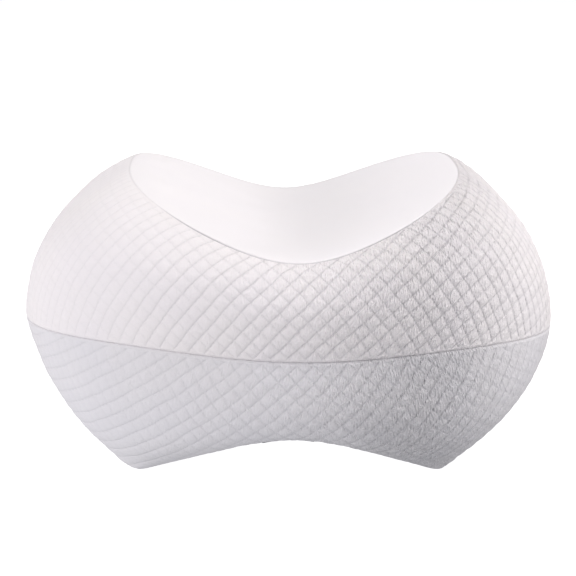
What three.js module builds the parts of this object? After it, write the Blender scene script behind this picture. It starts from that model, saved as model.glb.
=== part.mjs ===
// A knee pillow: a filled pillow about 25 cm wide that stands on two crests.
// It has a saddle for a leg on top and another below.
// Four cut pieces of cloth hold it: two quilted side bands, which meet at the girth seam half way up,
// and a smooth panel over each saddle. Each band is built with the filling behind it, as one solid.
// Millimetres, +Z up. The origin is on the floor under the middle. +X is to the right, and -Y is the front.
import * as THREE from "three";

// The plan at the girth seam is a squarish ellipse.
const WIDTH = 250;
const DEPTH = 200;
const GIRTH_HEIGHT = 68.2;
const GIRTH_POWER = 2.4;
const PANEL_POWER = 2.66;

// The half above the girth seam and the half below it. Rises are heights away from the girth.
// A section's fullness is the height of its shoulder as a share of the panel seam's rise,
// and its bulge is how far the shoulder stands out past the girth, as a share of the radius.
// A lean is what the right end has more of than the middle, and the left end less.
const UPPER = {
  side: 1,
  crestSpan: 76.6,
  crestShift: 0.8,
  crestRise: 69.5,
  crestLean: 1.3,
  waistRise: 40.7,
  seamReach: 89,
  frontFullness: 0.83,
  endFullness: 0.64,
  fullnessLean: 0.02,
  frontBulge: 0.09,
  endBulge: -0.005,
  bulgeLean: -0.016,
};
const LOWER = {
  side: -1,
  crestSpan: 76.9,
  crestShift: -0.5,
  crestRise: 70,
  crestLean: -0.3,
  waistRise: 40.5,
  seamReach: 80,
  frontFullness: 1.03,
  endFullness: 0.553,
  fullnessLean: -0.05,
  frontBulge: 0.07,
  endBulge: -0.055,
  bulgeLean: 0.03,
};
const SADDLE_HOLLOW = 0.35; // the saddle's round bottom, as a share of the crest span
const EDGE_ROUNDING = 9; // how far the rounding at the panel seam reaches to each side
const EDGE_CUT = 0.8; // how far it takes the seam in from a sharp corner

// The girth seam isn't level: each row lifts it by lift * cos(turns * angle).
const GIRTH_WANDER = [
  { turns: 0, lift: 0.1 },
  { turns: 1, lift: -0.5 },
  { turns: 2, lift: -0.85 },
  { turns: 4, lift: -2.1 },
];

// Quilting: square cells standing on their corners, with the filling raised in the middle of each.
const DIAMOND = 8.2; // corner to corner
const PUFF = 0.55; // cell middles, out from the band
const CREASE = 0.45; // stitched lines, in from the band
const SEAM_PULL = 0.8; // how far a seam is drawn in
const SEAM_PULL_REACH = 3;

const SHEET = 3; // the smooth cloth with its backing
const GAP = 0.3; // between neighbouring pieces
const PANEL_GAP = 0.8; // around the rim of a smooth panel
const FOOT_PRESS = 3; // what would stand lower than this is pressed flat on the floor
const FOOT_SPREAD = 10; // and what is up to this much higher sinks with it
const PANEL_LIFT = 0.5; // the bottom panel stays this far off the floor

const PANEL_SPOKES = 48;
const PANEL_RINGS = [0.955, 0.88, 0.72, 0.48, 0.24]; // shares of the way to the seam
const SECTION_STEPS = 24;
const QUARTER_STEPS = 90;
const LEAST_EDGE = 0.65; // quilting nearer than this to a seam goes to the seam
const LEAST_TURN = 0.014; // seam points nearer than this angle become one
const ON_LINE = 1e-6;

const QUARTER = Math.PI / 2;
const SKY = new THREE.Vector3(0, 0, 1);

const lerp = THREE.MathUtils.lerp;

// Radius of a squarish ellipse at an angle.
function ellipseRadius(alongX, alongY, power, angle) {
  const x = Math.abs(Math.cos(angle) / alongX) ** power;
  const y = Math.abs(Math.sin(angle) / alongY) ** power;
  return (x + y) ** (-1 / power);
}

// Height of a saddle over the girth at a distance along X from its middle.
// A round hollow opens into straight flanks.
function saddleRise(half, x) {
  const hollow = SADDLE_HOLLOW * half.crestSpan;
  const reach = (distance) => Math.hypot(hollow, distance) - hollow;
  const level = lerp(half.waistRise, half.crestRise, reach(x) / reach(half.crestSpan));
  return level + (half.crestLean * x) / half.crestSpan;
}

function girthLift(angle) {
  return GIRTH_WANDER.reduce((sum, wave) => sum + wave.lift * Math.cos(wave.turns * angle), 0);
}

// How much of a pull is left at a distance from where it is strongest.
function fade(distance, reach) {
  return Math.max(0, 1 - distance / reach) ** 2;
}

// One upright section through the middle, at an angle, as (radius, rise) points.
// The panel runs out to the seam, and the band falls from the seam over its shoulder to the girth.
function sectionAt(half, angle) {
  const across = Math.cos(angle);
  const seamRadius = ellipseRadius(half.crestSpan, half.seamReach, PANEL_POWER, angle);
  const girthRadius = ellipseRadius(WIDTH / 2, DEPTH / 2, GIRTH_POWER, angle);
  const seam = new THREE.Vector2(seamRadius, saddleRise(half, seamRadius * across));
  const fullness = lerp(half.frontFullness, half.endFullness, across ** 2) + half.fullnessLean * across;
  const bulge = lerp(half.frontBulge, half.endBulge, across ** 2) + half.bulgeLean * across;
  const shoulder = new THREE.Vector2(girthRadius * (1 + bulge), fullness * seam.y);
  const girth = new THREE.Vector2(girthRadius, 0);
  const curve = new THREE.QuadraticBezierCurve(girth, shoulder, seam);
  curve.arcLengthDivisions = SECTION_STEPS;

  const inward = new THREE.Vector2(seamRadius - 1, saddleRise(half, (seamRadius - 1) * across)).sub(seam);
  const outward = shoulder.clone().sub(seam);
  const corner = inward.normalize().add(outward.normalize()).setLength(EDGE_CUT);
  return { angle, seam, curve, corner, length: curve.getLength() };
}

// The lower crests spread where they stand: what is nearly on the floor is pressed flat on it.
function pressed(z) {
  return Math.max(0, z - FOOT_PRESS * fade(z - FOOT_PRESS, FOOT_SPREAD));
}

// Moves a section's point from the plane of its section to its place in the pillow, a share of the way
// from the girth to the crest.
function place(half, section, point, share) {
  const x = point.x * Math.cos(section.angle) + share * half.crestShift;
  const y = point.x * Math.sin(section.angle);
  const z = GIRTH_HEIGHT + half.side * point.y + (1 - share) * girthLift(section.angle);
  return new THREE.Vector3(x, y, pressed(z));
}

// A point of a band, from its girth seam (share 0) to its panel seam (share 1), raised along its face.
function bandPoint(half, section, share, raise) {
  const point = section.curve.getPointAt(share);
  const tangent = section.curve.getTangentAt(share);
  const outward = new THREE.Vector2(tangent.y, -tangent.x);
  const fromSeam = (1 - share) * section.length;
  point.addScaledVector(outward, raise - SEAM_PULL * fade(fromSeam, SEAM_PULL_REACH));
  point.addScaledVector(section.corner, fade(fromSeam, EDGE_ROUNDING));
  point.x -= SEAM_PULL * fade(share * section.length, SEAM_PULL_REACH);
  return place(half, section, point, share);
}

// A point of a saddle panel's face, at a share of the way from the middle to its seam, sunk by a depth.
function panelPoint(half, section, share, depth) {
  const radius = share * section.seam.x;
  const fromSeam = section.seam.x - radius;
  const point = new THREE.Vector2(radius, saddleRise(half, radius * Math.cos(section.angle)));
  point.addScaledVector(section.corner, fade(fromSeam, EDGE_ROUNDING));
  point.y -= SEAM_PULL * fade(fromSeam, SEAM_PULL_REACH);
  const placed = place(half, section, point, 1);
  placed.z = Math.max(PANEL_LIFT, placed.z) - half.side * depth;
  return placed;
}

// Where a band's section lies in space: its middle, and the way from its girth seam up to its panel seam.
function ruling(half, angle) {
  const { curve, length } = sectionAt(half, angle);
  const at = (share) => {
    const p = curve.getPointAt(share);
    return new THREE.Vector3(p.x * Math.cos(angle), p.x * Math.sin(angle), p.y);
  };
  return { middle: at(0.5), up: at(1).sub(at(0)).normalize(), length };
}

// The flat cut of a quarter of a band, from the front middle to an end, as a row for each section.
// All four quarters of a band are cut alike, so its leans are left out. The middle line bends as the band
// does, drawn out so that the straight grain of the cloth has turned by an eighth of a circle at the end.
function flatCut(leaningHalf) {
  const half = { ...leaningHalf, crestLean: 0, fullnessLean: 0, bulgeLean: 0 };
  const stepAngle = QUARTER / QUARTER_STEPS;
  const rows = [];
  let turn = 0;
  for (let i = 0; i <= QUARTER_STEPS; i++) {
    const angle = -QUARTER + i * stepAngle;
    const { middle, up, length } = ruling(half, angle);
    const ahead = ruling(half, angle + stepAngle / 2).middle;
    const behind = ruling(half, angle - stepAngle / 2).middle;
    const along = ahead.sub(behind).normalize();
    if (i > 0) {
      const across = along.clone().cross(up).cross(along).normalize();
      turn += along.clone().sub(rows[i - 1].along).dot(across);
    }
    const lean = along.angleTo(up);
    rows.push({ angle, middle, along, lean, turn, length });
  }
  const drawnOut = QUARTER / 2 / turn;
  const spot = new THREE.Vector2(0, 0);
  rows.forEach((row, i) => {
    const heading = row.turn * drawnOut;
    if (i > 0) {
      const before = rows[i - 1];
      const halfway = (heading + before.turn * drawnOut) / 2;
      const step = row.middle.distanceTo(before.middle);
      spot.x += step * Math.cos(halfway);
      spot.y += step * Math.sin(halfway);
    }
    row.spot = spot.clone();
    row.up = new THREE.Vector2(Math.cos(heading + row.lean), Math.sin(heading + row.lean));
  });
  return rows;
}

// Where a point of the flat cut comes to lie on the band: the section's angle, and the share of the way up.
function onBand(rows, point) {
  const beside = (row) => point.clone().sub(row.spot).cross(row.up);
  for (let i = 1; i < rows.length; i++) {
    const [before, after] = [rows[i - 1], rows[i]];
    const [near, far] = [beside(before), beside(after)];
    if (near < -ON_LINE || far > ON_LINE) continue;
    const share = near / (near - far);
    const spot = before.spot.clone().lerp(after.spot, share);
    const up = before.up.clone().lerp(after.up, share).normalize();
    const length = lerp(before.length, after.length, share);
    return {
      angle: lerp(before.angle, after.angle, share),
      share: 0.5 + point.clone().sub(spot).dot(up) / length,
      length,
    };
  }
  return null;
}

// The quilting of a quarter band as a net of triangles. Its nodes are half a diamond apart on the flat cut.
// Even nodes are cell corners and odd ones cell middles, and every stitched line is an edge of the net.
function quiltQuarter(half) {
  const rows = flatCut(half);
  const step = DIAMOND / 2;
  const end = rows[QUARTER_STEPS].spot;
  const endLine = 2 * Math.ceil((end.x + end.y) / (2 * step));
  const offset = end.x + end.y - endLine * step; // puts a stitched line on the end of the pillow
  const highest = Math.ceil(WIDTH / 2 / step);
  const nodes = new Map();
  const nodeAt = (i, j) => {
    const key = i + "," + j;
    if (!nodes.has(key)) {
      const node = onBand(rows, new THREE.Vector2(i * step, j * step + offset));
      if (node) settle(node, i, i + j === endLine, (i + j) % 2 !== 0);
      nodes.set(key, node);
    }
    return nodes.get(key);
  };
  const triangles = [];
  for (let i = 0; i <= endLine; i++) {
    for (let j = -highest; j < highest; j++) {
      const corners = [nodeAt(i, j), nodeAt(i + 1, j), nodeAt(i + 1, j + 1), nodeAt(i, j + 1)];
      const split = (i + j) % 2 === 0 ? [0, 1, 2, 0, 2, 3] : [0, 1, 3, 1, 2, 3];
      const beforeEnd = THREE.MathUtils.clamp(endLine - i - j, 0, 2);
      for (let k = 0; k < beforeEnd; k++) {
        const triangle = split.slice(3 * k, 3 * k + 3).map((n) => corners[n]);
        if (triangle.every(Boolean) && triangle.some((node) => node.share > 0 && node.share < 1)) {
          triangles.push(triangle);
        }
      }
    }
  }
  [0, 1].forEach((edge) => joinNear(triangles, edge));
  const placeOf = (node) => node.angle + "/" + node.share;
  return triangles.filter((corners) => new Set(corners.map(placeOf)).size === 3);
}

// Keeps a node inside the band: what falls outside, or nearly on a seam, goes to the seam.
function settle(node, column, atEnd, isMiddle) {
  if (column === 0) node.angle = -QUARTER;
  if (atEnd) node.angle = 0;
  const near = LEAST_EDGE / node.length;
  if (node.share < near) node.share = 0;
  if (node.share > 1 - near) node.share = 1;
  const inside = node.share > 0 && node.share < 1;
  node.raise = inside ? (isMiddle ? PUFF : -CREASE) : 0;
}

// Makes one of seam nodes that lie closer together than the least turn.
function joinNear(triangles, edge) {
  const onSeam = new Set(triangles.flat().filter((node) => node.share === edge));
  const sorted = [...onSeam].sort((a, b) => a.angle - b.angle);
  let kept = -QUARTER;
  for (const node of sorted) {
    if (node.angle > -LEAST_TURN) node.angle = 0;
    else if (node.angle - kept < LEAST_TURN) node.angle = kept;
    kept = node.angle;
  }
}

// Collects triangles whose corners are points, sharing points that coincide.
class Skin {
  constructor() {
    this.points = [];
    this.faces = [];
    this.seen = new Map();
  }

  add(point) {
    const key = [point.x, point.y, point.z].map((v) => Math.round(v * 1e3)).join(",");
    if (!this.seen.has(key)) {
      this.seen.set(key, this.points.length);
      this.points.push(point);
    }
    return this.seen.get(key);
  }

  face(a, b, c, turned = false) {
    const corners = (turned ? [a, c, b] : [a, b, c]).map((p) => this.add(p));
    if (new Set(corners).size === 3) this.faces.push(corners);
  }

  // Fills between two closed loops of { angle, point } in order of angle, whatever their counts.
  between(outer, inner, turned) {
    let [i, k] = [0, 0];
    const at = (loop, n) => loop[n % loop.length];
    const angleAfter = (loop, n) => at(loop, n + 1).angle + (n + 1 >= loop.length ? 2 * Math.PI : 0);
    while (i < outer.length || k < inner.length) {
      const outerIsNext = angleAfter(outer, i) <= angleAfter(inner, k);
      if (k >= inner.length || (i < outer.length && outerIsNext)) {
        this.face(at(outer, i).point, at(outer, i + 1).point, at(inner, k).point, turned);
        i++;
      } else {
        this.face(at(outer, i).point, at(inner, k + 1).point, at(inner, k).point, turned);
        k++;
      }
    }
  }

  // Closes a loop to one point.
  close(loop, middle, turned) {
    loop.forEach(({ point }, n) => this.face(point, loop[(n + 1) % loop.length].point, middle, turned));
  }

  geometry() {
    const positions = new Float32Array(this.points.flatMap((p) => [p.x, p.y, p.z]));
    const geometry = new THREE.BufferGeometry();
    geometry.setAttribute("position", new THREE.BufferAttribute(positions, 3));
    geometry.setIndex(this.faces.flat());
    return geometry;
  }
}

function spokes(count) {
  return Array.from({ length: count }, (_, n) => -Math.PI + (2 * Math.PI * n) / count);
}

// The rim of a saddle panel, sunk by a depth.
function panelRim(half, depth) {
  return spokes(PANEL_SPOKES).map((angle) => {
    const section = sectionAt(half, angle);
    return { angle, point: panelPoint(half, section, 1 - PANEL_GAP / section.seam.x, depth) };
  });
}

// The face of a saddle panel, sunk by a depth, from its rim to the middle.
function saddleFace(skin, half, depth, rim, turned) {
  const sections = spokes(PANEL_SPOKES).map((angle) => sectionAt(half, angle));
  let outer = rim;
  for (const share of PANEL_RINGS) {
    const ring = sections.map((s) => ({ angle: s.angle, point: panelPoint(half, s, share, depth) }));
    skin.between(outer, ring, turned);
    outer = ring;
  }
  skin.close(outer, panelPoint(half, sections[0], 0, depth), turned);
}

// A quilted band with the filling behind it, from the girth to the bed that the saddle panel lies in.
function bandSolid(half) {
  const skin = new Skin();
  const upright = half.side > 0;
  const quarter = quiltQuarter(half);
  const girth = new Map();
  const rim = new Map();
  for (const [mirrorX, mirrorY] of [[1, 1], [-1, 1], [1, -1], [-1, -1]]) {
    const turned = mirrorX * mirrorY * half.side < 0;
    for (const triangle of quarter) {
      const points = triangle.map(({ angle, share, raise }) => {
        const turnedAngle = Math.atan2(mirrorY * Math.sin(angle), mirrorX * Math.cos(angle));
        const around = turnedAngle > Math.PI - 1e-9 ? -Math.PI : turnedAngle;
        const section = sectionAt(half, around);
        const point = bandPoint(half, section, share, raise);
        if (share === 0) point.z += (half.side * GAP) / 2;
        if (share === 0) girth.set(around.toFixed(6), { angle: around, point });
        if (share === 1) rim.set(around.toFixed(6), { angle: around, point });
        return point;
      });
      skin.face(...points, turned);
    }
  }
  const inOrder = (loop) => [...loop.values()].sort((a, b) => a.angle - b.angle);
  const middle = new THREE.Vector3(0, 0, GIRTH_HEIGHT + (half.side * GAP) / 2);
  skin.close(inOrder(girth), middle, upright);

  const bedDepth = SHEET + GAP;
  const edge = inOrder(rim);
  const bedEdge = edge.map(({ angle, point }) => ({
    angle,
    point: point.clone().addScaledVector(SKY, -half.side * bedDepth),
  }));
  const bedRim = panelRim(half, bedDepth);
  skin.between(edge, bedEdge, !upright);
  skin.between(bedEdge, bedRim, !upright);
  saddleFace(skin, half, bedDepth, bedRim, !upright);
  return skin.geometry();
}

// A smooth saddle panel: a thick sheet over the hollow and up to the crests.
function panelSolid(half) {
  const skin = new Skin();
  const upright = half.side > 0;
  const face = panelRim(half, 0);
  const back = panelRim(half, SHEET);
  saddleFace(skin, half, 0, face, !upright);
  saddleFace(skin, half, SHEET, back, upright);
  skin.between(back, face, !upright);
  return skin.geometry();
}

const quiltedCloth = () => new THREE.MeshStandardMaterial({ color: 0xefedf0, roughness: 0.9, metalness: 0 });
const smoothCloth = () => new THREE.MeshStandardMaterial({ color: 0xf4f1f3, roughness: 0.85, metalness: 0 });

function named(name, geometry, material) {
  const mesh = new THREE.Mesh(geometry, material);
  mesh.name = name;
  return mesh;
}

const pillow = new THREE.Group();
pillow.name = "knee_pillow";
pillow.add(
  named("upper_side_band", bandSolid(UPPER), quiltedCloth()),
  named("lower_side_band", bandSolid(LOWER), quiltedCloth()),
  named("top_saddle_panel", panelSolid(UPPER), smoothCloth()),
  named("bottom_saddle_panel", panelSolid(LOWER), smoothCloth()),
);

export default pillow;
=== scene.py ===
"""A knee pillow in a plain studio: two quilted knit side bands and two smooth saddle panels."""

import logging
import math
from dataclasses import dataclass, replace
from enum import Enum
from typing import Sequence, Union

import bpy
import numpy as np
from mathutils import Matrix, Vector


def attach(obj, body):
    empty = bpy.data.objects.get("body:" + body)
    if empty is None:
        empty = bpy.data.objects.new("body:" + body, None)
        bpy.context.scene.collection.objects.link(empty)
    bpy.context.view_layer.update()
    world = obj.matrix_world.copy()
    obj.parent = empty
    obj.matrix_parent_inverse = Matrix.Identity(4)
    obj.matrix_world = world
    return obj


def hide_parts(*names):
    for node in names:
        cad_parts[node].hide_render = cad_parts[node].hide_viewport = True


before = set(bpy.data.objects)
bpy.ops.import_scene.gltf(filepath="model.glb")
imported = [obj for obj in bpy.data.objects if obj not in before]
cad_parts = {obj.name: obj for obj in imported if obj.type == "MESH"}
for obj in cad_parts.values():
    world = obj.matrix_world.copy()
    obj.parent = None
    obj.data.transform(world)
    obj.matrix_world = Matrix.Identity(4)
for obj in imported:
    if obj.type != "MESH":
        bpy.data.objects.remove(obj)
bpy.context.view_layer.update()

Array = np.ndarray
Colour = tuple[float, float, float]
Number = Union[float, "Value"]

MM = 0.001
QUARTER_TURN = math.pi / 2
FULL_TURN = 2 * math.pi
BODY = "root"
CLOTH_MAP = "cloth"
CLOTH_MAP_SPAN = 100.0
PICTURE_SIZE = 576
QUARTERS = 4
NOISE_MIDDLE = 0.5
NOISE_ROUGHNESS = 0.55
WHITE = (1.0, 1.0, 1.0)

log = logging.getLogger("knee_pillow")


class Mark(Enum):
    """A number that a mesh holds at each point, which its finish reads by name."""

    # SHADE holds painted shade for the crease lines and the seam grooves, and CRINKLING also sets the
    # painted shade in the crinkle hollows.
    SHADE = "shade"
    CRINKLING = "crinkling"
    NEARING_LINES = "nearing_lines"
    LEAVING_LINES = "leaving_lines"


def fade(distance: Array, reach: float) -> Array:
    """How much of a pull is left at a distance from where it is strongest.

    Args:
        distance: Distances from the strongest place.
        reach: The distance at which nothing is left.

    Returns:
        Shares from 1 down to 0, or over 1 for a distance below 0.
    """
    return np.maximum(0.0, 1.0 - distance / reach) ** 2


def smooth_step(low: float, high: float, value: Array) -> Array:
    """A smooth rise from 0 to 1.

    Args:
        low: Where the rise starts.
        high: Where it ends.
        value: The values to take it at.

    Returns:
        The height of the rise at each value.
    """
    share = np.clip((value - low) / (high - low), 0.0, 1.0)
    return share * share * (3.0 - 2.0 * share)


def squarish_ellipse(along_x: float, along_y: float, power: float, angle: Array) -> Array:
    """Radius of a squarish ellipse.

    Args:
        along_x: Half its width.
        along_y: Half its depth.
        power: 2 for a plain ellipse, and more for a squarer one.
        angle: The angles to take it at.

    Returns:
        The radius at each angle.
    """
    across = np.abs(np.cos(angle) / along_x) ** power
    deep = np.abs(np.sin(angle) / along_y) ** power
    return (across + deep) ** (-1.0 / power)


def unit(vector: Array) -> Array:
    """Vectors of length 1 in the same directions."""
    return vector / np.linalg.norm(vector, axis=-1, keepdims=True)


def direction(azimuth: float, elevation: float) -> Vector:
    """The way out from the pillow.

    Args:
        azimuth: Degrees from the front, round to the right.
        elevation: Degrees up from level.

    Returns:
        A direction of length 1.
    """
    turn, height = math.radians(azimuth), math.radians(elevation)
    level = math.cos(height)
    return Vector((level * math.sin(turn), -level * math.cos(turn), math.sin(height)))


def add_object(name: str, data: bpy.types.ID) -> bpy.types.Object:
    """Adds an object to the scene.

    Args:
        name: Its name.
        data: Its mesh, light or camera.

    Returns:
        The object, at the origin.
    """
    added = bpy.data.objects.new(name, data)
    bpy.context.scene.collection.objects.link(added)
    return added


def opaque(colour: Colour) -> tuple[float, float, float, float]:
    """A colour as a socket takes it."""
    return (*colour, 1.0)


@dataclass(frozen=True)
class Half:
    """One half of the pillow, above or below the girth seam. Sizes are in millimetres.

    Rises are heights away from the girth. A section's fullness is the height of its shoulder as a share
    of the panel seam's rise, and its bulge is how far the shoulder stands out past the girth, as a share
    of the radius. A lean is what the right end has more of than the middle, and the left end less.
    """

    side: int
    crest_span: float
    crest_shift: float
    crest_rise: float
    crest_lean: float
    waist_rise: float
    seam_reach: float
    front_fullness: float
    end_fullness: float
    fullness_lean: float
    front_bulge: float
    end_bulge: float
    bulge_lean: float
    saddle_hollow: float = 0.35

    def saddle_rise(self, x: Array) -> Array:
        """Height of the saddle over the girth.

        Args:
            x: Distances from the middle, along the pillow's width.

        Returns:
            The rise at each distance: a round hollow that opens into straight flanks.
        """
        hollow = self.saddle_hollow * self.crest_span
        climb = (np.hypot(hollow, x) - hollow) / (math.hypot(hollow, self.crest_span) - hollow)
        level = self.waist_rise + (self.crest_rise - self.waist_rise) * climb
        return level + self.crest_lean * x / self.crest_span

    def without_leans(self) -> "Half":
        """The same half with both ends alike, which is how its cloth is cut."""
        sizes = {**self.__dict__, "crest_lean": 0.0, "fullness_lean": 0.0, "bulge_lean": 0.0}
        return Half(**sizes)


UPPER_HALF = Half(
    side=1,
    crest_span=76.6,
    crest_shift=0.8,
    crest_rise=69.5,
    crest_lean=1.3,
    waist_rise=40.7,
    seam_reach=89.0,
    front_fullness=0.83,
    end_fullness=0.64,
    fullness_lean=0.02,
    front_bulge=0.09,
    end_bulge=-0.005,
    bulge_lean=-0.016,
)
LOWER_HALF = Half(
    side=-1,
    crest_span=76.9,
    crest_shift=-0.5,
    crest_rise=70.0,
    crest_lean=-0.3,
    waist_rise=40.5,
    seam_reach=80.0,
    front_fullness=1.03,
    end_fullness=0.553,
    fullness_lean=-0.05,
    front_bulge=0.07,
    end_bulge=-0.055,
    bulge_lean=0.03,
)


@dataclass(frozen=True)
class Form:
    """The form that the filling gives the whole pillow, in millimetres."""

    width: float = 250.0
    depth: float = 200.0
    girth_height: float = 68.2
    girth_power: float = 2.4
    panel_power: float = 2.66
    girth_wander: tuple[tuple[int, float], ...] = ((0, 0.1), (1, -0.5), (2, -0.85), (4, -2.1))
    edge_rounding: float = 9.0
    edge_cut: float = 0.8
    foot_press: float = 3.0
    foot_spread: float = 10.0
    panel_lift: float = 0.5

    def girth_lift(self, angle: Array) -> Array:
        """How far the girth seam wanders from level at each angle."""
        return sum(lift * np.cos(turns * angle) for turns, lift in self.girth_wander)

    def pressed(self, z: Array) -> Array:
        """Heights with the crests below spread where they stand on the floor."""
        return np.maximum(0.0, z - self.foot_press * fade(z - self.foot_press, self.foot_spread))


FORM = Form()


@dataclass(frozen=True)
class Seam:
    """How a seam draws the cloth in, in millimetres.

    It is a soft valley with a sharp line in it and a roll beside it. A panel seam shows less where the
    cloth is tight, over the crests, which are where the cosine of the angle is large.
    """

    TIGHT_FROM = 0.25
    TIGHT_TO = 0.75
    LOST_WHERE_TIGHT = 0.9

    valley: float
    valley_reach: float
    line: float
    line_reach: float
    roll: float
    # shadow and shadow_reach set the painted shade in the seam's groove.
    shadow: float
    roll_from_line: float = 1.15
    roll_width: float = 0.5
    shadow_reach: float = 0.7

    def depth(self, distance: Array) -> Array:
        """How deep the cloth lies at each distance from the seam."""
        drawn = self.valley * fade(distance, self.valley_reach) + self.line * fade(distance, self.line_reach)
        return drawn - self.roll * np.exp(-(((distance - self.roll_from_line) / self.roll_width) ** 2))

    def shaded(self, distance: Array) -> Array:
        """How much painted shade darkens the turned-in cloth at each distance from the seam."""
        return self.shadow * np.clip(1.0 - distance / self.shadow_reach, 0.0, 1.0)

    @staticmethod
    def strength(angle: Array) -> Array:
        """How strongly a panel seam shows at each angle."""
        tight = smooth_step(Seam.TIGHT_FROM, Seam.TIGHT_TO, np.abs(np.cos(angle)))
        return 1.0 - Seam.LOST_WHERE_TIGHT * tight


PANEL_SEAM = Seam(valley=0.6, valley_reach=2.6, line=0.8, line_reach=0.7, roll=0.45, shadow=1.7)
GIRTH_SEAM = Seam(valley=0.3, valley_reach=2.6, line=0.14, line_reach=0.6, roll=0.2, shadow=0.14)


@dataclass(frozen=True)
class Slack:
    """How loose the cloth lies along the pillow's width, which is how much of its relief shows.

    It is given at places across the pillow, in millimetres from the middle to the right.
    """

    FINE_PLACES = 61
    ROUNDING = 9

    shares: tuple[float, ...]
    places: tuple[float, ...] = (-100.0, -62.0, -33.0, 0.0, 30.0, 60.0, 85.0, 110.0)

    def at(self, x: Array) -> Array:
        """The share of the relief that shows.

        Args:
            x: Places across the pillow, in millimetres.

        Returns:
            The share at each place, with the bends at the given places rounded off.
        """
        fine = np.linspace(self.places[0], self.places[-1], self.FINE_PLACES)
        run = np.pad(np.interp(fine, self.places, self.shares), self.ROUNDING // 2, mode="edge")
        rounded = np.convolve(run, np.full(self.ROUNDING, 1 / self.ROUNDING), mode="valid")
        return np.interp(x, fine, rounded)


@dataclass(frozen=True)
class Looseness:
    """The slack of a band's cloth: its cells, its two families of stitched lines and its crinkles."""

    # The same slack also scales the painted shade on the creases and in the crinkle hollows.
    cells: Slack
    climbing_lines: Slack
    falling_lines: Slack
    crinkles: Slack


UPPER_LOOSENESS = Looseness(
    cells=Slack((0.4, 0.6, 0.85, 1.05, 1.15, 1.5, 1.55, 1.3)),
    climbing_lines=Slack((0.9, 1.25, 1.35, 1.5, 1.45, 1.6, 1.05, 0.45)),
    falling_lines=Slack((0.45, 0.5, 0.65, 0.9, 1.1, 1.3, 1.3, 1.5)),
    crinkles=Slack((0.08, 0.2, 0.3, 0.9, 2.1, 2.7, 1.9, 0.8)),
)
LOWER_LOOSENESS = Looseness(
    cells=Slack((0.55, 0.55, 0.62, 0.7, 0.77, 0.9, 0.82, 0.6)),
    climbing_lines=Slack((1.25, 1.3, 1.15, 1.55, 2.2, 2.8, 2.8, 1.2)),
    falling_lines=Slack((0.45, 0.4, 1.2, 1.5, 1.2, 1.5, 0.75, 0.5)),
    crinkles=Slack((0.2, 0.25, 0.4, 1.1, 3.0, 4.7, 2.3, 0.7)),
)


@dataclass(frozen=True)
class Unevenness:
    """Slow soft waves, such as a hand-sewn cover has over its filling.

    The waves are made from a seed, so that they are the same each time.
    """

    seed: int
    height: float
    shortest: float = 16.0
    longest: float = 46.0
    waves: int = 14

    def at(self, place: Array) -> Array:
        """Height of the waves.

        Args:
            place: Points as rows of x, y and z, in millimetres.

        Returns:
            One height for each point, in millimetres.
        """
        draw = np.random.default_rng(self.seed)
        total = np.zeros(place.shape[:-1])
        for _ in range(self.waves):
            heading = draw.normal(size=3)
            heading /= np.linalg.norm(heading)
            length = draw.uniform(self.shortest, self.longest)
            phase = draw.uniform(0.0, FULL_TURN)
            total += np.sin(place @ heading * (FULL_TURN / length) + phase)
        return total * self.height / math.sqrt(self.waves / 2)


SLOW_WAVES = Unevenness(seed=5, height=0.12)


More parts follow.
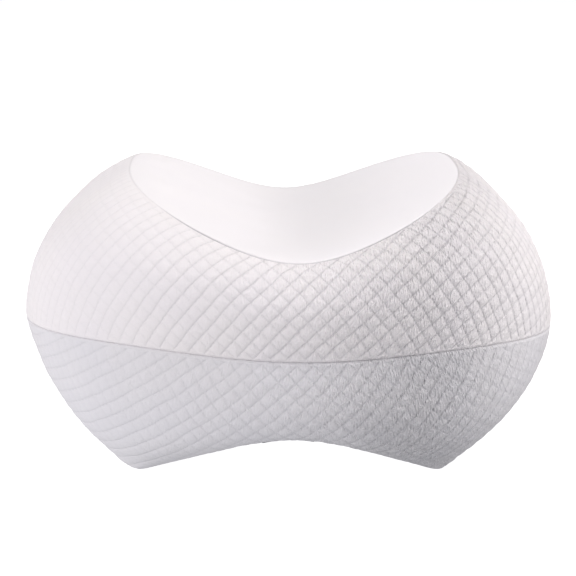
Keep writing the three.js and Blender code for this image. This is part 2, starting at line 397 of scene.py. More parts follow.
class Sections:
    """Upright sections of one half at many angles, each a curve from the girth seam to the panel seam."""

    CURVE_STEPS = 64
    SEAM_STEP = 1.0

    def __init__(self, form: Form, half: Half, angle: Array) -> None:
        """Lays out the sections.

        Args:
            form: The whole pillow's form.
            half: The half that they belong to.
            angle: Their angles about the middle.
        """
        self.form = form
        self.half = half
        self.angle = angle
        across = np.cos(angle)
        self.seam_radius = squarish_ellipse(half.crest_span, half.seam_reach, form.panel_power, angle)
        girth_radius = squarish_ellipse(form.width / 2, form.depth / 2, form.girth_power, angle)
        rise = half.saddle_rise(self.seam_radius * across)
        to_end = across**2
        fullness = half.front_fullness + (half.end_fullness - half.front_fullness) * to_end
        fullness = fullness + half.fullness_lean * across
        bulge = half.front_bulge + (half.end_bulge - half.front_bulge) * to_end + half.bulge_lean * across
        self.girth = np.stack([girth_radius, np.zeros_like(girth_radius)], axis=-1)
        self.shoulder = np.stack([girth_radius * (1 + bulge), fullness * rise], axis=-1)
        self.seam = np.stack([self.seam_radius, rise], axis=-1)

        self.steps = np.linspace(0.0, 1.0, self.CURVE_STEPS + 1)
        curve = self._curve(self.steps[:, None])
        pieces = np.linalg.norm(np.diff(curve, axis=0), axis=-1)
        self.run = np.vstack([np.zeros(len(angle)), np.cumsum(pieces, axis=0)])
        self.length = self.run[-1]

        inner = self.seam_radius - self.SEAM_STEP
        inward = np.stack([inner, half.saddle_rise(inner * across)], axis=-1) - self.seam
        outward = self.shoulder - self.seam
        bisector = unit(inward) + unit(outward)
        self.inward_at_seam = unit(bisector)
        self.seam_strength = Seam.strength(angle)

    def _curve(self, t: Array) -> Array:
        """Points of the curves as radius and rise, at shares t of their control line."""
        t = t[..., None]
        return (1 - t) ** 2 * self.girth + 2 * t * (1 - t) * self.shoulder + t * t * self.seam

    def _parameter(self, share: Array) -> Array:
        """The curves' own parameter.

        Args:
            share: Shares of the curves' length.

        Returns:
            The parameter at each share, with a column for each section.
        """
        wanted = share * self.length
        columns = [np.interp(wanted[:, i], self.run[:, i], self.steps) for i in range(len(self.angle))]
        return np.stack(columns, axis=-1)

    def middle_line(self) -> Array:
        """Points half way up the curves, as x, y and rise."""
        t = self._parameter(np.full((1, len(self.angle)), 0.5))
        return self.upright(self._curve(t)[0])

    def way_up(self) -> Array:
        """Directions from the girth seam to the panel seam, as x, y and rise."""
        return unit(self.upright(self.seam) - self.upright(self.girth))

    def upright(self, point: Array) -> Array:
        """Stands points up in their sections.

        Args:
            point: Radius and rise of each point.

        Returns:
            x, y and rise of each.
        """
        x = point[..., 0] * np.cos(self.angle)
        y = point[..., 0] * np.sin(self.angle)
        return np.stack([x, y, point[..., 1]], axis=-1)

    def place(self, point: Array, share: Array) -> Array:
        """Moves points of the sections to their places in the pillow.

        Args:
            point: Radius and rise of each point.
            share: Its share of the way from the girth seam to the panel seam.

        Returns:
            x, y and z in millimetres.
        """
        x = point[..., 0] * np.cos(self.angle) + share * self.half.crest_shift
        y = point[..., 0] * np.sin(self.angle)
        lift = (1 - share) * self.form.girth_lift(self.angle)
        z = self.form.girth_height + self.half.side * point[..., 1] + lift
        return np.stack([x, y, self.form.pressed(z)], axis=-1)

    def band(self, share: Array, raised: Array) -> Array:
        """Points of the side band.

        Args:
            share: Shares of the way from the girth seam to the panel seam, with a column for each section.
            raised: How far each point stands out from the form.

        Returns:
            x, y and z in millimetres.
        """
        t = self._parameter(share)
        point = self._curve(t)
        t = t[..., None]
        slope = unit((1 - t) * (self.shoulder - self.girth) + t * (self.seam - self.shoulder))
        outward = np.stack([slope[..., 1], -slope[..., 0]], axis=-1)
        point = point + outward * raised[..., None]
        to_seam = (1 - share) * self.length
        drawn = PANEL_SEAM.depth(to_seam) * self.seam_strength
        drawn = drawn + self.form.edge_cut * fade(to_seam, self.form.edge_rounding)
        point = point + self.inward_at_seam * drawn[..., None]
        point[..., 0] -= GIRTH_SEAM.depth(share * self.length)
        return self.place(point, share)

    def panel(self, share: float, sunk: float = 0.0) -> Array:
        """Points of the saddle panel's face, one for each section.

        Args:
            share: The share of the way from the middle to the panel seam.
            sunk: How far under the face the points lie.

        Returns:
            x, y and z in millimetres.
        """
        radius = share * self.seam_radius
        to_seam = self.seam_radius - radius
        point = np.stack([radius, self.half.saddle_rise(radius * np.cos(self.angle))], axis=-1)
        drawn = PANEL_SEAM.depth(to_seam) * self.seam_strength
        drawn = drawn + self.form.edge_cut * fade(to_seam, self.form.edge_rounding)
        point = point + self.inward_at_seam * drawn[..., None]
        placed = self.place(point, np.ones_like(radius))
        placed[..., 2] = np.maximum(self.form.panel_lift, placed[..., 2]) - self.half.side * sunk
        return placed


class FlatCut:
    """The flat cut of a quarter of a band, from the front middle to an end, as a row for each section.

    The middle line bends as the band does, drawn out so that the straight grain of the cloth has turned by
    an eighth of a circle at the end.
    """

    STEPS = 90

    def __init__(self, form: Form, half: Half) -> None:
        """Lays a quarter of the band flat.

        Args:
            form: The whole pillow's form.
            half: The half that the band covers.
        """
        even = half.without_leans()
        step = QUARTER_TURN / self.STEPS
        self.angle = -QUARTER_TURN + step * np.arange(self.STEPS + 1)
        sections = Sections(form, even, self.angle)
        middle = sections.middle_line()
        up = sections.way_up()
        ahead = Sections(form, even, self.angle + step / 2).middle_line()
        behind = Sections(form, even, self.angle - step / 2).middle_line()
        along = unit(ahead - behind)

        across = unit(np.cross(np.cross(along, up), along))
        turned = np.einsum("ij,ij->i", along[1:] - along[:-1], across[1:])
        turn = np.concatenate([[0.0], np.cumsum(turned)])
        heading = turn * (QUARTER_TURN / 2 / turn[-1])
        lean = np.arccos(np.clip(np.einsum("ij,ij->i", along, up), -1.0, 1.0))
        halfway = (heading[1:] + heading[:-1]) / 2
        stride = np.linalg.norm(np.diff(middle, axis=0), axis=-1)
        self.spot_x = np.concatenate([[0.0], np.cumsum(stride * np.cos(halfway))])
        self.spot_y = np.concatenate([[0.0], np.cumsum(stride * np.sin(halfway))])
        self.up_heading = heading + lean
        self.length = sections.length

    def lay(self, angle: Array, share: Array) -> tuple[Array, Array]:
        """Where points of the band come to lie on the flat cut.

        Args:
            angle: Their angles about the middle, in any quarter.
            share: Their shares of the way from the girth seam to the panel seam.

        Returns:
            The flat cut's x and y, in millimetres.
        """
        folded = -np.arctan2(np.abs(np.sin(angle)), np.abs(np.cos(angle)))
        spot_x = np.interp(folded, self.angle, self.spot_x)
        spot_y = np.interp(folded, self.angle, self.spot_y)
        heading = np.interp(folded, self.angle, self.up_heading)
        reach = (share - 0.5) * np.interp(folded, self.angle, self.length)
        return spot_x + reach * np.cos(heading), spot_y + reach * np.sin(heading)

    def end_offset(self, spacing: float) -> float:
        """The shift of the quilting that puts one of its lines on the end of the pillow."""
        end = self.spot_x[-1] + self.spot_y[-1]
        return end - spacing * math.ceil(end / spacing)


@dataclass(frozen=True)
class Quilting:
    """Quilting in square cells that stand on their corners, in millimetres."""

    diamond: float = 8.2
    puff: float = 0.28
    crease: float = 0.15
    crown: float = 2.5
    # shadow sets the painted shade on the crease lines.
    shadow: float = 0.26
    unequal: float = 0.22
    wobble: float = 0.22
    wobble_shortest: float = 9.0
    wobble_longest: float = 30.0
    line_sharpness: int = 4
    seed: int = 21
    cells: int = 128
    clear_of_seam: float = 0.5
    full_from_seam: float = 2.2

    def wandering(self, place: Array) -> Array:
        """How far the stitched lines wander up the cloth at each place."""
        return Unevenness(self.seed, self.wobble, self.wobble_shortest, self.wobble_longest).at(place)

    def raised(self, x: Array, y: Array, quarter: Array, outer: Array, inner: Array) -> tuple[Array, Array]:
        """Height of the quilting.

        Args:
            x: The flat cut's x.
            y: The flat cut's y, from the line that the cells are set by.
            quarter: The number of the band's quarter that each point is in.
            outer: The share of the depth that the lines have which near the girth towards the end.
            inner: The share of the depth that the other lines have.

        Returns:
            How far each point stands out, and how creased it is, which is 0 away from the lines.
        """
        rising = (x + y) / self.diamond
        falling = (x - y) / self.diamond
        draw = np.random.default_rng(self.seed)
        table = draw.uniform(1 - self.unequal, 1 + self.unequal, (QUARTERS, self.cells, self.cells))
        fullness = table[
            quarter,
            np.floor(rising).astype(int) % self.cells,
            np.floor(falling).astype(int) % self.cells,
        ]
        outer_line = 1 - self._crown(rising)
        inner_line = 1 - self._crown(falling)
        dome = (1 - outer_line) * (1 - inner_line)
        drawn = 1 - (1 - outer * outer_line) * (1 - inner * inner_line)
        height = self.puff * fullness * dome - self.crease * drawn
        creased = [outer * outer_line**self.line_sharpness, inner * inner_line**self.line_sharpness]
        return height, np.maximum(*creased)

    def _crown(self, turns: Array) -> Array:
        """The crown of a cell across one pair of its sides, 0 on the lines and 1 between them."""
        to_line = 2 * np.abs(turns - np.round(turns))
        return 1 - (1 - to_line) ** self.crown


class Skin:
    """Collects rings of points and the faces between them, and makes a closed mesh of them."""

    def __init__(self, columns: int) -> None:
        """Starts an empty skin with a fixed number of points in each ring."""
        self.here = np.arange(columns)
        self.after = (self.here + 1) % columns
        self.points: list[Array] = []
        self.faces: list[Array] = []
        self.cloth: list[Array] = []
        self.marks: dict[Mark, list[Array]] = {mark: [] for mark in Mark}
        self.count = 0

    def add(
        self,
        points: Array,
        cloth: Array | None = None,
        marks: dict[Mark, Array] | None = None,
    ) -> int:
        """Adds points.

        Args:
            points: Rows of x, y and z, in millimetres.
            cloth: Where each lies on the flat cloth, in millimetres, or None for its own x and y.
            marks: Numbers at each for the finish, or 0 where none are given.

        Returns:
            The number of the first of them.
        """
        first = self.count
        count = points.size // 3
        flat = points[..., :2] if cloth is None else cloth
        self.points.append(points.reshape(-1, 3))
        self.cloth.append(flat.reshape(-1, 2))
        for mark, values in self.marks.items():
            values.append(np.ravel(marks[mark]) if marks and mark in marks else np.zeros(count))
        self.count += count
        return first

    def span(self, rings: Sequence[int], turned: bool) -> None:
        """Adds the faces between each ring and the next.

        Args:
            rings: The rings' first points.
            turned: Whether the faces look the other way.
        """
        for lower, upper in zip(rings, rings[1:]):
            corners = [lower + self.here, lower + self.after, upper + self.after, upper + self.here]
            quads = np.stack(corners, axis=-1)
            self.faces.append(quads[:, ::-1] if turned else quads)

    def cap(self, ring: int, middle: Array, turned: bool) -> None:
        """Closes a ring to one new point.

        Args:
            ring: The ring's first point.
            middle: x, y and z of the new point, in millimetres.
            turned: Whether the faces look the other way.
        """
        centre = np.full(len(self.here), self.add(middle))
        fan = np.stack([ring + self.here, ring + self.after, centre], axis=-1)
        self.faces.append(fan[:, ::-1] if turned else fan)

    def mesh(self, name: str) -> bpy.types.Object:
        """Makes the object.

        Args:
            name: Its name.

        Returns:
            The object, at the origin, with its place in its mesh.
        """
        points = np.concatenate(self.points) * MM
        faces = [face for group in self.faces for face in group.tolist()]
        mesh = bpy.data.meshes.new(name)
        mesh.from_pydata(points.tolist(), [], faces)
        mesh.shade_smooth()
        corner_points = np.empty(len(mesh.loops), dtype=np.int32)
        mesh.loops.foreach_get("vertex_index", corner_points)
        cloth = np.concatenate(self.cloth)[corner_points] / CLOTH_MAP_SPAN
        layer = mesh.uv_layers.new(name=CLOTH_MAP)
        layer.data.foreach_set("uv", cloth.astype(np.float32).ravel())
        for mark, values in self.marks.items():
            attribute = mesh.attributes.new(mark.value, "FLOAT", "POINT")
            attribute.data.foreach_set("value", np.concatenate(values).astype(np.float32))
        mesh.validate()
        return add_object(name, mesh)


class Value:
    """A number in a material's nodes, with Python's own operators."""

    def __init__(self, graph: "Graph", socket: bpy.types.NodeSocket) -> None:
        """Wraps a node's output."""
        self.graph = graph
        self.socket = socket

    def _math(self, operation: str, *operands: Number) -> "Value":
        """One Math node."""
        inputs = dict(enumerate(operands))
        return self.graph.value("ShaderNodeMath", {"operation": operation}, inputs)

    def __add__(self, other: Number) -> "Value":
        """This and another."""
        return self._math("ADD", self, other)

    __radd__ = __add__

    def __sub__(self, other: Number) -> "Value":
        """This less another."""
        return self._math("SUBTRACT", self, other)

    def __rsub__(self, other: Number) -> "Value":
        """Another less this."""
        return self._math("SUBTRACT", other, self)

    def __mul__(self, other: Number) -> "Value":
        """This times another."""
        return self._math("MULTIPLY", self, other)

    __rmul__ = __mul__

    def __abs__(self) -> "Value":
        """Its size without its sign."""
        return self._math("ABSOLUTE", self)

    def sine(self) -> "Value":
        """Its sine."""
        return self._math("SINE", self)

    def exponent(self) -> "Value":
        """The exponential of it."""
        return self._math("EXPONENT", self)

    def to_whole(self) -> "Value":
        """How far it is from the nearest whole number."""
        return abs(self - self._math("ROUND", self))


class Graph:
    """The nodes of one material, or of the world."""

    def __init__(self, tree: bpy.types.NodeTree) -> None:
        """Starts with no nodes."""
        self.nodes = tree.nodes
        self.links = tree.links
        self.nodes.clear()

    def node(self, kind: str, settings: dict[str, object], inputs: dict[object, object]) -> bpy.types.Node:
        """Makes one node.

        Args:
            kind: The node's type.
            settings: Its own settings, which are set first.
            inputs: Values or links for its sockets, by name or number.

        Returns:
            The node.
        """
        node = self.nodes.new(kind)
        for key, setting in settings.items():
            setattr(node, key, setting)
        for key, given in inputs.items():
            socket = node.inputs[key]
            if isinstance(given, Value):
                self.links.new(given.socket, socket)
            elif isinstance(given, bpy.types.NodeSocket):
                self.links.new(given, socket)
            else:
                socket.default_value = given
        return node

    def value(
        self,
        kind: str,
        settings: dict[str, object],
        inputs: dict[object, object],
        output: object = 0,
    ) -> Value:
        """Makes one node and gives one of its outputs as a number."""
        return Value(self, self.node(kind, settings, inputs).outputs[output])

    def surface(self, inputs: dict[object, object]) -> None:
        """Ends a material in a shader with the given inputs."""
        shader = self.node("ShaderNodeBsdfPrincipled", {}, inputs)
        self.node("ShaderNodeOutputMaterial", {}, {"Surface": shader.outputs[0]})

    def mark(self, mark: Mark) -> Value:
        """A number that the mesh holds at each point."""
        return self.value("ShaderNodeAttribute", {"attribute_name": mark.value}, {}, "Fac")

    def cloth(self) -> tuple[Value, Value]:
        """Where a point lies on the flat cloth, in millimetres."""
        placed = self.node("ShaderNodeUVMap", {"uv_map": CLOTH_MAP}, {})
        parts = self.node("ShaderNodeSeparateXYZ", {}, {0: placed.outputs["UV"]})
        return (
            Value(self, parts.outputs["X"]) * CLOTH_MAP_SPAN,
            Value(self, parts.outputs["Y"]) * CLOTH_MAP_SPAN,
        )

    def noise(self, across: Number, along: Number, layer: float, detail: float) -> Value:
        """Soft noise on the flat cloth.

        Args:
            across: Its place across, in waves.
            along: Its place along, in waves.
            layer: A number that gives each use its own noise.
            detail: How many finer noises are in it.

        Returns:
            The noise, which lies about its middle.
        """
        vector = self.node("ShaderNodeCombineXYZ", {}, {"X": across, "Y": along, "Z": layer})
        inputs = {"Vector": vector.outputs[0], "Scale": 1.0, "Detail": detail}
        inputs["Roughness"] = NOISE_ROUGHNESS
        return self.value("ShaderNodeTexNoise", {"noise_dimensions": "3D"}, inputs, "Fac")

    def mixed(self, factor: Value, first: object, second: object) -> bpy.types.NodeSocket:
        """A colour between two others.

        Args:
            factor: 0 for the first and 1 for the second.
            first: A colour or a link.
            second: A colour or a link.

        Returns:
            The colour's socket.
        """
        first, second = (opaque(given) if isinstance(given, tuple) else given for given in (first, second))
        settings = {"data_type": "RGBA", "clamp_factor": True}
        return self.node("ShaderNodeMix", settings, {0: factor, 6: first, 7: second}).outputs[2]


def new_material(name: str) -> tuple[bpy.types.Material, Graph]:
    """Makes an empty material.

    Args:
        name: Its name.

    Returns:
        The material and the graph of its nodes.
    """
    material = bpy.data.materials.new(name)
    material.use_nodes = True
    return material, Graph(material.node_tree)


@dataclass(frozen=True)
class KnitFinish:
    """A white knit cloth. Lengths are in millimetres.

    Wales are the columns of loops and courses are the rows. The cloth crinkles along its wales. Each
    layer number gives a noise of its own.
    """

    BLOTCH_LAYER = 3.0
    CRINKLE_LAYER = 11.0

    name: str
    pale: Colour
    warm: Colour
    # shade is the colour of painted shade; loop_shade and crinkle_shade set how much of it the gaps between
    # loops and the crinkle hollows get.
    shade: Colour
    roughness: float
    wale: float
    course: float
    loop_depth: float
    crinkle_width: float
    crinkle_length: float
    crinkle_depth: float
    sheen: float
    loop_shade: float = 0.05
    crinkle_shade: float = 0.0
    stitch_spacing: float = 0.0
    stitch_depth: float = 0.0
    stitch_width: float = 0.45
    sheen_roughness: float = 0.45
    blotch: float = 42.0
    blotch_detail: float = 2.0
    crinkle_detail: float = 2.5
    warm_from: float = 0.35
    warm_rise: float = 3.0
    roughness_spread: float = 0.12
    course_bow: float = 1.1
    wale_share: float = 0.65
    specular: float = 0.25

    def _stitched(self, run: Value) -> Value:
        """Depth of one family of stitched lines.

        Args:
            run: A distance along the flat cloth that grows by the spacing from line to line.

        Returns:
            How deep the lines press into the cloth, in millimetres.
        """
        to_line = (run * (1 / self.stitch_spacing)).to_whole() * (self.stitch_spacing / math.sqrt(2))
        spread = to_line * (1 / self.stitch_width)
        return (spread * spread * -1.0).exponent() * self.stitch_depth

    def material(self) -> bpy.types.Material:
        """Makes the material.

        Returns:
            The material, with its colour, roughness and relief.
        """
        material, graph = new_material(self.name)
        across, along = graph.cloth()

        spot = (across * (1 / self.blotch), along * (1 / self.blotch))
        blotches = graph.noise(*spot, self.BLOTCH_LAYER, self.blotch_detail)
        spot = (across * (1 / self.crinkle_width), along * (1 / self.crinkle_length))
        crinkles = graph.noise(*spot, self.CRINKLE_LAYER, self.crinkle_detail)
        wales = abs((across * (math.pi / self.wale)).sine())
        courses = abs((along * (math.pi / self.course) + wales * self.course_bow).sine())
        loops = wales * self.wale_share + courses * (1 - self.wale_share)

        tinted = graph.mixed((blotches - self.warm_from) * self.warm_rise, self.pale, self.warm)
        # Painted shade: the SHADE mark, the gaps between knit loops and the crinkle hollows darken the
        # colour towards the shade colour.
        painted_shade = graph.mark(Mark.SHADE) + (1 - loops) * self.loop_shade
        if self.crinkle_shade:
            painted_shade = painted_shade + (NOISE_MIDDLE - crinkles) * graph.mark(Mark.CRINKLING) * self.crinkle_shade
        colour = graph.mixed(painted_shade, tinted, self.shade)
        roughness = self.roughness - self.roughness_spread / 2 + blotches * self.roughness_spread

        relief = crinkles * self.crinkle_depth
        if self.stitch_depth:
            relief = relief * graph.mark(Mark.CRINKLING)
            outward = abs(across)
            relief = relief - self._stitched(outward + along) * graph.mark(Mark.NEARING_LINES)
            relief = relief - self._stitched(outward - along) * graph.mark(Mark.LEAVING_LINES)
        relief = relief + loops * self.loop_depth
        bump = graph.node("ShaderNodeBump", {}, {"Strength": 1.0, "Distance": MM, "Height": relief})
        graph.surface(
            {
                "Base Color": colour,
                "Roughness": roughness,
                "Normal": bump.outputs[0],
                "Specular IOR Level": self.specular,
                "Sheen Weight": self.sheen,
                "Sheen Roughness": self.sheen_roughness,
                "Sheen Tint": opaque(WHITE),
            }
        )
        return material


QUILTED_UPPER = KnitFinish(
    name="quilted_knit_upper",
    pale=(0.80, 0.76, 0.775),
    warm=(0.808, 0.767, 0.77),
    shade=(0.34, 0.32, 0.35),
    roughness=0.86,
    wale=0.62,
    course=0.5,
    loop_depth=0.04,
    crinkle_width=0.78,
    crinkle_length=2.4,
    crinkle_depth=0.85,
    crinkle_shade=0.3,
    sheen=0.12,
    stitch_spacing=Quilting.diamond,
    stitch_depth=0.18,
)
# Painted shade: the lower band has the upper band's knit in darker, bluer colours.
QUILTED_LOWER = replace(
    QUILTED_UPPER,
    name="quilted_knit_lower",
    pale=(0.706, 0.685, 0.711),
    warm=(0.716, 0.691, 0.709),
    shade=(0.32, 0.31, 0.34),
    roughness=0.88,
    crinkle_width=0.76,
    crinkle_length=2.8,
    crinkle_depth=0.8,
)
SMOOTH_KNIT = KnitFinish(
    name="smooth_knit",
    pale=(0.84, 0.809, 0.827),
    warm=(0.845, 0.813, 0.825),
    shade=(0.34, 0.32, 0.34),
    loop_shade=0.02,
    roughness=0.82,
    wale=0.45,
    course=0.38,
    loop_depth=0.03,
    crinkle_width=9.0,
    crinkle_length=16.0,
    crinkle_depth=0.12,
    sheen=0.1,
)


@dataclass
class CoverPiece:
    """A sewn piece that stands for one of the solids."""

    name: str
    stands_for: str
    half: Half
    finish: KnitFinish

    def dress(self, piece: bpy.types.Object) -> None:
        """Gives the piece its cloth, attaches it to the body, and hides the solid that it stands for.

        Args:
            piece: The piece.
        """
        piece.data.materials.append(self.finish.material())
        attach(piece, BODY)
        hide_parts(self.stands_for)


@dataclass
class SideBand(CoverPiece):
    """A quilted knit band with the filling behind it, from the girth seam to the panel seam.

    Sizes are in millimetres. Rows of points lie closer together beside the seams.
    """

    FINENESS = 4

    looseness: Looseness
    form: Form = FORM
    quilting: Quilting = Quilting()
    softness: Unevenness = SLOW_WAVES
    soft_from_seam: float = 12.0
    columns: int = 960
    even_rows: int = 73
    beside_seam: tuple[float, ...] = (0.0, 0.14, 0.32, 0.55, 0.78, 1.0, 1.25, 1.5, 1.8, 2.2)
    seam_gap: float = 0.06
    bed_depth: float = 3.3
    bed_rings: tuple[float, ...] = (0.985, 0.93, 0.78, 0.5, 0.22)
    fill: float = 0.95

    def _even_angles(self) -> Array:
        """Spaces the sections evenly along the band's middle line.

        Returns:
            The angle of each.
        """
        fine = np.linspace(0.0, FULL_TURN, self.FINENESS * self.columns + 1)
        line = Sections(self.form, self.half, fine).middle_line()
        run = np.concatenate([[0.0], np.cumsum(np.linalg.norm(np.diff(line, axis=0), axis=-1))])
        wanted = np.arange(self.columns) * (run[-1] / self.columns)
        return np.interp(wanted, run, fine)

    def _shares(self, length: Array) -> Array:
        """Spaces the rows.

        Args:
            length: The length of each section's curve.

        Returns:
            The rows' shares of the way up, with a column for each section.
        """
        low = np.array(self.beside_seam)[:, None] / length
        inner_low, inner_high = low[-1], 1 - low[-1]
        even = np.linspace(0.0, 1.0, self.even_rows + 2)[1:-1, None]
        middle = inner_low + (inner_high - inner_low) * even
        return np.concatenate([low, middle, 1 - low[::-1]])

    def build(self) -> bpy.types.Object:
        """Builds the band's mesh.

        Returns:
            The band, as a closed piece with a bed for its saddle panel.
        """
        angle = self._even_angles()
        sections = Sections(self.form, self.half, angle)
        share = self._shares(sections.length)
        around = np.broadcast_to(angle, share.shape)
        cut = FlatCut(self.form, self.half)
        flat_x, flat_y = cut.lay(around, share)
        flat_y = flat_y - cut.end_offset(self.quilting.diamond)
        quarter = (np.cos(around) < 0).astype(int) + 2 * (np.sin(around) > 0).astype(int)

        plain = sections.band(share, np.zeros_like(share))
        flat_y = flat_y + self.quilting.wandering(plain)
        to_right = np.cos(around) > 0
        across = plain[..., 0]
        climbing = self.looseness.climbing_lines.at(across)
        falling = self.looseness.falling_lines.at(across)
        nearing_falls = to_right == (self.half.side > 0)
        outer = np.where(nearing_falls, falling, climbing)
        inner = np.where(nearing_falls, climbing, falling)
        height, crease = self.quilting.raised(flat_x, flat_y, quarter, outer, inner)
        to_girth = share * sections.length
        to_panel = (1 - share) * sections.length
        to_seam = np.minimum(to_girth, to_panel)
        shown = smooth_step(self.quilting.clear_of_seam, self.quilting.full_from_seam, to_seam)
        soft = self.softness.at(plain) * smooth_step(0.0, self.soft_from_seam, to_seam)
        cells = self.looseness.cells.at(across)
        surface = sections.band(share, height * shown * cells + soft)
        surface[0, :, 2] += self.half.side * self.seam_gap
        # Painted shade: SHADE darkens the crease lines and the grooves of both seams, and CRINKLING darkens
        # the crinkle hollows.
        panel_shade = PANEL_SEAM.shaded(to_panel) * sections.seam_strength
        seam_shade = np.maximum(GIRTH_SEAM.shaded(to_girth), panel_shade)
        marks = {
            Mark.SHADE: np.maximum(crease * shown * cells * self.quilting.shadow, seam_shade),
            Mark.CRINKLING: self.looseness.crinkles.at(across),
            Mark.NEARING_LINES: outer * cells * shown,
            Mark.LEAVING_LINES: inner * cells * shown,
        }

        skin = Skin(self.columns)
        inside_out = self.half.side < 0
        cloth = np.stack([flat_x * np.where(to_right, 1.0, -1.0), flat_y], axis=-1)
        rows = range(skin.add(surface, cloth, marks), skin.count, self.columns)
        skin.span(rows, inside_out)
        skin.cap(rows[0], surface[0].mean(axis=0), not inside_out)
        self._line_bed(skin, sections, rows[-1], surface[-1], inside_out)
        return skin.mesh(self.name)

    def _line_bed(self, skin: Skin, sections: Sections, ring: int, edge: Array, turned: bool) -> None:
        """Lines the bed under the saddle panel, down from the panel seam and in to the middle.

        Args:
            skin: The band's skin.
            sections: The band's sections.
            ring: The first point of the ring at the panel seam.
            edge: The points of that ring.
            turned: Whether the faces look the other way.
        """
        below = edge.copy()
        below[:, 2] -= self.half.side * self.bed_depth
        inner = [sections.panel(share, self.bed_depth) for share in self.bed_rings]
        rings = [ring] + [skin.add(points) for points in (below, *inner)]
        skin.span(rings, turned)
        skin.cap(rings[-1], sections.panel(0.0, self.bed_depth)[:1], turned)

    def dress(self, piece: bpy.types.Object) -> None:
        """Dresses the band as any cover piece is dressed."""
        super().dress(piece)


@dataclass
class SaddlePanel(CoverPiece):
    """A smooth knit panel stretched over one of the saddles. Sizes are in millimetres."""

    rests_on: str
    flat: tuple[float, float]
    flat_area: float
    form: Form = FORM
    softness: Unevenness = SLOW_WAVES
    soft_clear_of_seam: float = 2.0
    soft_from_seam: float = 14.0
    columns: int = 720
    thickness: float = 2.6
    beside_seam: tuple[float, ...] = (0.05, 0.16, 0.34, 0.58, 0.9, 1.3, 1.8, 2.4, 3.2, 4.2, 5.5, 7.2)
    inner_rings: int = 34
    back_rings: tuple[float, ...] = (0.9, 0.7, 0.45, 0.2)

    def build(self) -> bpy.types.Object:
        """Builds the panel's mesh.

        Returns:
            The panel, as a closed sheet.
        """
        angle = np.arange(self.columns) * (FULL_TURN / self.columns)
        sections = Sections(self.form, self.half, angle)
        reach = float(sections.seam_radius.mean())
        shares = [1 - distance / reach for distance in self.beside_seam]
        shares += list(np.linspace(shares[-1], 0.0, self.inner_rings + 1)[1:-1])
        inside_out = self.half.side < 0

        skin = Skin(self.columns)
        rings = []
        for share in shares:
            # Painted shade in the panel seam's groove.
            shade = PANEL_SEAM.shaded((1 - share) * sections.seam_radius) * sections.seam_strength
            rings.append(skin.add(self._face(sections, share), marks={Mark.SHADE: shade}))
        skin.span(rings, inside_out)
        skin.cap(rings[-1], self._face(sections, 0.0)[:1], inside_out)

        back = [skin.add(sections.panel(share, self.thickness)) for share in (shares[0], *self.back_rings)]
        skin.span([back[0], rings[0]], inside_out)
        skin.span(back, not inside_out)
        skin.cap(back[-1], sections.panel(0.0, self.thickness)[:1], not inside_out)
        return skin.mesh(self.name)

    def _face(self, sections: Sections, share: float) -> Array:
        """A ring of the panel's face, as uneven as the cloth is.

        Args:
            sections: The panel's sections.
            share: The ring's share of the way from the middle to the panel seam.

        Returns:
            x, y and z in millimetres.
        """
        points = sections.panel(share)
        to_seam = (1 - share) * sections.seam_radius
        soft = smooth_step(self.soft_clear_of_seam, self.soft_from_seam, to_seam)
        points[:, 2] += self.half.side * self.softness.at(points) * soft
        points[:, 2] = np.maximum(self.form.panel_lift, points[:, 2])
        return points

    def dress(self, piece: bpy.types.Object) -> None:
        """Dresses the panel as any cover piece is dressed."""
        super().dress(piece)


HIGH_LIGHT = (1.0, 0.99, 0.98)
SIDE_LIGHT = (1.0, 0.98, 0.99)
LOW_LIGHT = (0.97, 0.985, 1.02)


@dataclass(frozen=True)
class SoftBox:
    """A square soft studio light, placed round the pillow. Sizes are in metres and angles in degrees.

    Azimuth 0 is in front, and 90 is to the right.
    """

    name: str
    azimuth: float
    elevation: float
    power: float
    size: float = 0.5
    away: float = 1.5
    colour: Colour = WHITE

    def build(self, target: Vector) -> None:
        """Hangs the light.

        Args:
            target: The point that it faces.
        """
        away = self.away * direction(self.azimuth, self.elevation)
        light = bpy.data.lights.new(self.name, "AREA")
        light.size = self.size
        light.energy = self.power
        light.color = self.colour
        lamp = add_object(self.name, light)
        lamp.location = target + away
        lamp.rotation_euler = away.to_track_quat("Z", "Y").to_euler()


class Towards(Enum):
    """A side that the surround's light comes from, as an axis and a sign."""

    LEFT = (0, -1.0)
    FRONT = (1, -1.0)
    BELOW = (2, -1.0)


@dataclass(frozen=True)
class Surround:
    """The soft light of a white room, as its brightness towards each side that gives light."""

    name: str
    strengths: tuple[tuple[Towards, float], ...]
    colour: Colour = LOW_LIGHT

    def build(self) -> None:
        """Makes the world. The squares of a direction's parts add up to 1, so the sides blend."""
        world = bpy.data.worlds.new(self.name)
        world.use_nodes = True
        graph = Graph(world.node_tree)
        outlook = graph.node("ShaderNodeTexCoord", {}, {}).outputs["Generated"]
        parts = graph.node("ShaderNodeSeparateXYZ", {}, {0: outlook}).outputs
        total: Number = 0.0
        for side, strength in self.strengths:
            axis, sign = side.value
            facing = graph.value(
                "ShaderNodeMath", {"operation": "MAXIMUM"}, {0: Value(graph, parts[axis]) * sign, 1: 0.0}
            )
            total = total + facing * facing * strength
        inputs = {"Color": opaque(self.colour), "Strength": total}
        background = graph.node("ShaderNodeBackground", {}, inputs)
        graph.node("ShaderNodeOutputWorld", {}, {"Surface": background.outputs[0]})
        bpy.context.scene.world = world


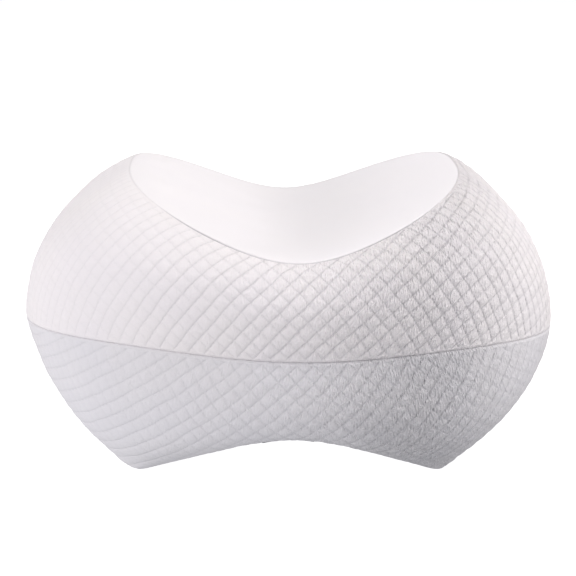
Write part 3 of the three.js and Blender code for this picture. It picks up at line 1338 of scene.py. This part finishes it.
@dataclass(frozen=True)
class Studio:
    """The camera, the floor and the lights."""

    azimuth: float = -2.343
    elevation: float = 14.32
    roll: float = 1.094
    distance: float = 0.8475
    focal_pixels: float = 1752.9
    girth_height: float = Form.girth_height * MM
    girth_below_middle: float = 14.67
    girth_right_of_middle: float = 0.3
    sensor: float = 36.0
    clip: tuple[float, float] = (0.01, 100.0)
    floor_radius: float = 6.0
    floor_sides: int = 96
    floor_drop: float = 0.0002
    floor_colour: Colour = (0.35, 0.35, 0.35)
    floor_roughness: float = 0.9
    floor_specular: float = 0.1
    floor_glow: float = 0.93
    surround: Surround = Surround(
        "white_room",
        ((Towards.BELOW, 0.92), (Towards.FRONT, 0.66), (Towards.LEFT, 0.7)),
    )
    lights: tuple[SoftBox, ...] = (
        SoftBox("right_low_box", 100.0, 12.0, 3.4, colour=SIDE_LIGHT),
        SoftBox("right_high_box", 76.0, 46.0, 11.4, colour=HIGH_LIGHT),
        SoftBox("front_right_box", 43.0, 20.0, 7.4, colour=SIDE_LIGHT),
        SoftBox("left_box", -75.0, 12.0, 10.6, colour=SIDE_LIGHT),
        SoftBox("front_left_box", -45.0, 15.0, 0.6, colour=SIDE_LIGHT),
        SoftBox("back_left_box", -150.0, 45.0, 2.6, colour=HIGH_LIGHT),
        SoftBox("back_right_box", 160.0, 45.0, 2.4, colour=HIGH_LIGHT),
        SoftBox("top_box", 0.0, 89.0, 5.2, size=0.8, colour=HIGH_LIGHT),
    )

    def camera(self) -> None:
        """Places the camera at the photograph's angle, aimed so that its view isn't shifted."""
        turn, roll = math.radians(self.azimuth), math.radians(self.roll)
        right = Vector((math.cos(turn), math.sin(turn), 0.0))
        back = direction(self.azimuth, self.elevation)
        up = back.cross(right)
        rolled_right = math.cos(roll) * right + math.sin(roll) * up
        rolled_up = math.cos(roll) * up - math.sin(roll) * right
        girth = Vector((0.0, 0.0, self.girth_height))
        place = girth + back * self.distance
        per_pixel = self.distance / self.focal_pixels
        aim = girth + rolled_up * (self.girth_below_middle * per_pixel)
        aim = aim - rolled_right * (self.girth_right_of_middle * per_pixel)
        away = (place - aim).normalized()
        level = (rolled_right - away * rolled_right.dot(away)).normalized()
        upward = away.cross(level)

        lens = bpy.data.cameras.new("camera")
        lens.sensor_width = self.sensor
        lens.lens = self.focal_pixels * self.sensor / PICTURE_SIZE
        lens.clip_start, lens.clip_end = self.clip
        camera = add_object("camera", lens)
        axes = Matrix((level, upward, away)).transposed().to_4x4()
        camera.matrix_world = Matrix.Translation(place) @ axes
        bpy.context.scene.camera = camera

    def floor(self) -> None:
        """Lays a wide floor under the pillow, with a glow that makes it look white."""
        mesh = bpy.data.meshes.new("floor")
        turns = np.arange(self.floor_sides) * (FULL_TURN / self.floor_sides)
        rim = [(self.floor_radius * math.cos(t), self.floor_radius * math.sin(t), 0.0) for t in turns]
        mesh.from_pydata(rim, [], [list(range(self.floor_sides))])
        floor = add_object("floor", mesh)
        floor.location.z = -self.floor_drop
        material, graph = new_material("floor_paper")
        graph.surface(
            {
                "Base Color": opaque(self.floor_colour),
                "Roughness": self.floor_roughness,
                "Specular IOR Level": self.floor_specular,
                "Emission Color": opaque(WHITE),
                "Emission Strength": self.floor_glow,
            }
        )
        mesh.materials.append(material)
        floor.visible_diffuse = False
        floor.visible_glossy = False
        floor.visible_transmission = False
        floor.visible_shadow = False

    def light(self) -> None:
        """Sets the surround and hangs the soft boxes."""
        self.surround.build()
        target = Vector((0.0, 0.0, self.girth_height))
        for box in self.lights:
            box.build(target)
        bpy.context.scene.view_settings.view_transform = "Standard"


def assemble(parts: Sequence[Union[SideBand, SaddlePanel]]) -> None:
    """Builds and dresses the pieces in order.

    Args:
        parts: The bands and panels.
    """
    for part in parts:
        piece = part.build()
        part.dress(piece)
        log.info("%s: %d points, %d faces", piece.name, len(piece.data.vertices), len(piece.data.polygons))


def main() -> None:
    """Builds the scene: the camera, the pillow's four pieces, and then the studio."""
    logging.basicConfig(level=logging.INFO, format="%(name)s: %(message)s")
    studio = Studio()
    studio.camera()
    assemble(
        [
            SideBand("upper_quilted_band", "upper_side_band", UPPER_HALF, QUILTED_UPPER, UPPER_LOOSENESS),
            SideBand("lower_quilted_band", "lower_side_band", LOWER_HALF, QUILTED_LOWER, LOWER_LOOSENESS),
            SaddlePanel(
                "top_smooth_panel",
                "top_saddle_panel",
                UPPER_HALF,
                SMOOTH_KNIT,
                rests_on="upper_quilted_band",
                flat=(172.0, 178.0),
                flat_area=26500.0,
            ),
            SaddlePanel(
                "bottom_smooth_panel",
                "bottom_saddle_panel",
                LOWER_HALF,
                SMOOTH_KNIT,
                rests_on="lower_quilted_band",
                flat=(172.0, 160.0),
                flat_area=24000.0,
            ),
        ]
    )
    studio.floor()
    studio.light()


if __name__ == "__main__":
    main()
